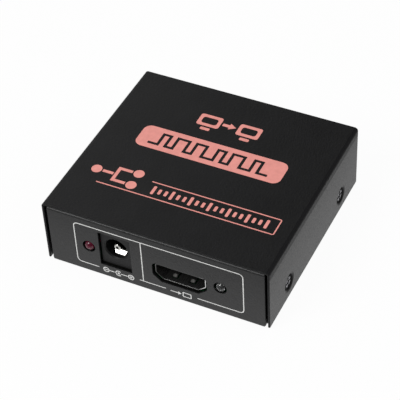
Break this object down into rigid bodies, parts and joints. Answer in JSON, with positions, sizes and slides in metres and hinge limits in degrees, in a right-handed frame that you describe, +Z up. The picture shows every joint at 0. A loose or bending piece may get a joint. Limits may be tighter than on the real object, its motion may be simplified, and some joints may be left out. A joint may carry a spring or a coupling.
{
  "type": "video signal splitter",
  "caption": "Small folded sheet-metal box that copies one video input to two outputs, with a barrel power jack and indicator lights.",
  "frame": {"origin": "middle of the underside", "axes": "+X right seen from the input side, +Y from the input side to the output side, +Z up"},
  "size_m": [0.065, 0.0608, 0.0204],
  "materials": {
    "case_coat": "matte",
    "black_screw": "satin",
    "plated_steel": "satin",
    "shell_nickel": "satin",
    "bright_nickel": "polished",
    "tinned_metal": "satin",
    "contact_gold": "gloss",
    "black_moulding": "satin",
    "board_laminate": "satin",
    "chip_resin": "matte",
    "can_metal": "satin",
    "resistor_glaze": "satin",
    "capacitor_ceramic": "satin",
    "red_lens": "gloss",
    "clear_lens": "gloss"
  },
  "bodies": {
    "unit": {"base_tray": "case_coat", "board_screws": "plated_steel", "board_standoffs": "plated_steel", "capacitor_bases": "black_moulding", "capacitor_cans": "can_metal", "chip_capacitors": "capacitor_ceramic", "chip_resistors": "resistor_glaze", "circuit_board": "board_laminate", "cover_screws": "black_screw", "crystal_can": "can_metal", "crystal_leads": "tinned_metal", "input_diode_body": "chip_resin", "input_diode_leads": "tinned_metal", "input_led_leads": "tinned_metal", "input_led_lens": "clear_lens", "input_socket_contacts": "contact_gold", "input_socket_insulator": "black_moulding", "input_socket_shell": "shell_nickel", "memory_chip_body": "chip_resin", "memory_chip_leads": "tinned_metal", "output_1_led_leads": "tinned_metal", "output_1_led_lens": "clear_lens", "output_1_socket_contacts": "contact_gold", "output_1_socket_insulator": "black_moulding", "output_1_socket_shell": "shell_nickel", "output_2_led_leads": "tinned_metal", "output_2_led_lens": "clear_lens", "output_2_socket_contacts": "contact_gold", "output_2_socket_insulator": "black_moulding", "output_2_socket_shell": "shell_nickel", "power_jack_housing": "black_moulding", "power_jack_pin": "bright_nickel", "power_jack_pin_terminal": "tinned_metal", "power_jack_sleeve_terminal": "tinned_metal", "power_jack_switch_terminal": "tinned_metal", "power_led_leads": "tinned_metal", "power_led_lens": "red_lens", "regulator_bodies": "chip_resin", "regulator_leads": "tinned_metal", "splitter_chip_body": "chip_resin", "splitter_chip_leads": "tinned_metal", "surge_arrays": "chip_resin", "top_cover": "case_coat"},
    "sleeve_leaf": {"power_jack_sleeve_leaf": "bright_nickel"}
  },
  "joints": [
    {"name": "sleeve_contact_flex", "type": "hinge", "parent": "unit", "child": "sleeve_leaf", "pos_m": [-0.01162, -0.0175, 0.00735], "axis": [1, 0, 0], "range_deg": [0, 4], "stiffness_Nm_per_rad": 0.05}
  ]
}
